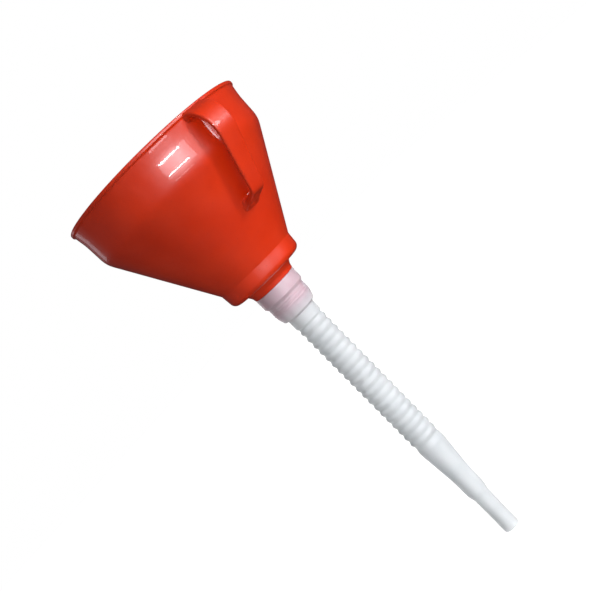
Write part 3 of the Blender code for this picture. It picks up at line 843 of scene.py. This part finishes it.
AMBIENT = 0.34
GLOSS_LOW = 0.015
GLOSS_HIGH = 0.05
KEY_POWER = 8.0
SOFT_POWER = 9.5
BACK_POWER = 3.0
LOW_POWER = 0.45

# Lights that show only in reflections: name, azimuth and elevation in degrees, distance, width,
# height and radiance.
REFLECTED = (
    ("lamp_housing", -14.0, 0.6, 1.9, 1.35, 0.20, 9.0),
    ("lamp_tube_upper", -12.8, 2.1, 1.9, 0.66, 0.034, 110.0),
    ("lamp_tube_lower", -17.0, 0.0, 1.9, 0.98, 0.024, 110.0),
    ("sill", -17.0, -13.2, 1.9, 0.85, 0.05, 14.0),
    ("doorway", 31.0, 0.0, 1.9, 0.42, 0.40, 20.0),
    ("far_wall", -173.0, 3.0, 1.6, 0.30, 0.36, 0.9),
)
REFLECTED_AIM = Vector((0.0703, -0.0300, 0.1000))
REFLECTED_COLOUR = (1.0, 0.93, 1.0)


def make_camera():
    data = bpy.data.cameras.new("camera")
    data.lens = CAMERA_LENS
    data.sensor_width = CAMERA_SENSOR
    camera = bpy.data.objects.new("camera", data)
    bpy.context.scene.collection.objects.link(camera)
    camera.location = CAMERA_PLACE
    camera.rotation_mode = "QUATERNION"
    upright = (-CAMERA_BACK).to_track_quat("-Z", "Y")
    camera.rotation_quaternion = upright @ Quaternion((0, 0, 1), CAMERA_ROLL)
    bpy.context.scene.camera = camera


def add_light(name, place, aim, size, power, colour=(1, 1, 1)):
    data = bpy.data.lights.new(name, "AREA")
    data.shape = "RECTANGLE"
    data.size, data.size_y = size
    data.energy = power
    data.color = colour
    light = bpy.data.objects.new(name, data)
    light.location = place
    light.rotation_mode = "QUATERNION"
    light.rotation_quaternion = (Vector(aim) - Vector(place)).to_track_quat("-Z", "Y")
    bpy.context.scene.collection.objects.link(light)
    return light


def make_world():
    """White behind the object, and a dim room in everything that lights or mirrors it."""
    world = bpy.data.worlds.new("studio")
    bpy.context.scene.world = world
    world.use_nodes = True
    tree = world.node_tree
    links = tree.links

    def background(colour, strength):
        node = tree.nodes.new("ShaderNodeBackground")
        node.inputs["Color"].default_value = (*colour, 1)
        node.inputs["Strength"].default_value = strength
        return node

    def blended(share, first, second):
        node = tree.nodes.new("ShaderNodeMixShader")
        links.new(share, node.inputs["Fac"])
        links.new(first.outputs[0], node.inputs[1])
        links.new(second.outputs[0], node.inputs[2])
        return node

    coordinates = tree.nodes.new("ShaderNodeTexCoord")
    split = tree.nodes.new("ShaderNodeSeparateXYZ")
    links.new(coordinates.outputs["Generated"], split.inputs[0])
    height = tree.nodes.new("ShaderNodeMapRange")
    height.inputs["From Min"].default_value = -0.45
    height.inputs["From Max"].default_value = 0.05
    links.new(split.outputs["Z"], height.inputs["Value"])
    path = tree.nodes.new("ShaderNodeLightPath")
    mirrored = blended(height.outputs["Result"], background((1, 0.95, 0.95), GLOSS_LOW),
                       background((0.93, 0.9, 1.0), GLOSS_HIGH))
    room = background((1, 0.97, 0.95), AMBIENT)
    lighting = blended(path.outputs["Is Glossy Ray"], room, mirrored)
    seen = blended(path.outputs["Is Camera Ray"], lighting, background((1, 1, 1), 1.0))
    links.new(seen.outputs[0], tree.nodes["World Output"].inputs["Surface"])
    bpy.context.scene.view_settings.view_transform = "Standard"


def direction(azimuth, elevation):
    """A unit vector from its azimuth about Z and its elevation, in degrees."""
    around, up = math.radians(azimuth), math.radians(elevation)
    return Vector((math.cos(around) * math.cos(up), math.sin(around) * math.cos(up), math.sin(up)))


def make_lights():
    """A small key, a wide soft light without shadows, two fills, and the reflected panels."""
    middle = Vector((0, 0, 0.03))
    add_light("key", middle + direction(17, 21) * 1.4, middle, (0.16, 0.16), KEY_POWER)
    soft = add_light("soft_key", middle + direction(12, 8) * 1.3, middle, (0.9, 0.7), SOFT_POWER)
    soft.visible_glossy = False
    soft.data.use_shadow = False
    hose = Vector((0, 0, -0.24))
    low = add_light("hose_fill", hose + direction(-25, 6) * 0.9, hose, (0.5, 0.5), LOW_POWER)
    low.visible_glossy = False
    low.data.spread = math.radians(42)
    back = add_light("back_fill", middle + direction(160, 25) * 1.6, middle, (1.2, 1.2), BACK_POWER)
    back.visible_glossy = False
    for name, azimuth, elevation, distance, width, height, radiance in REFLECTED:
        place = REFLECTED_AIM + direction(azimuth, elevation) * distance
        power = radiance * math.pi * width * height
        panel = add_light(name, place, REFLECTED_AIM, (width, height), power,
                          REFLECTED_COLOUR)
        panel.visible_diffuse = False


def make_floor():
    """A plain pale floor just under the nozzle, which neither lights nor mirrors in the object."""
    floor_z = NOZZLE_END_Z - FLOOR_DROP
    reach = FLOOR_REACH
    pale = Surface("pale_floor", 0.9)
    pale.shader.inputs["Base Color"].default_value = (0.9, 0.9, 0.9, 1)
    pale.shader.inputs["Emission Color"].default_value = (1, 1, 1, 1)
    pale.shader.inputs["Emission Strength"].default_value = 0.85
    corners = [(x * reach, y * reach, floor_z) for x, y in ((-1, -1), (1, -1), (1, 1), (-1, 1))]
    floor = add_mesh("floor", corners, [(0, 1, 2, 3)], pale.material)
    floor.visible_glossy = False
    floor.visible_diffuse = False


def main():
    make_camera()
    red = make_red()
    white = make_white()
    make_bowl(red)
    make_handle(red)
    make_strainer_frame(white)
    make_gauze(make_brass())
    make_collar(make_white("natural_plastic_collar", spigot_show_through=True))
    make_hose(white)
    make_nozzle(white)
    make_world()
    make_lights()
    make_floor()


main()
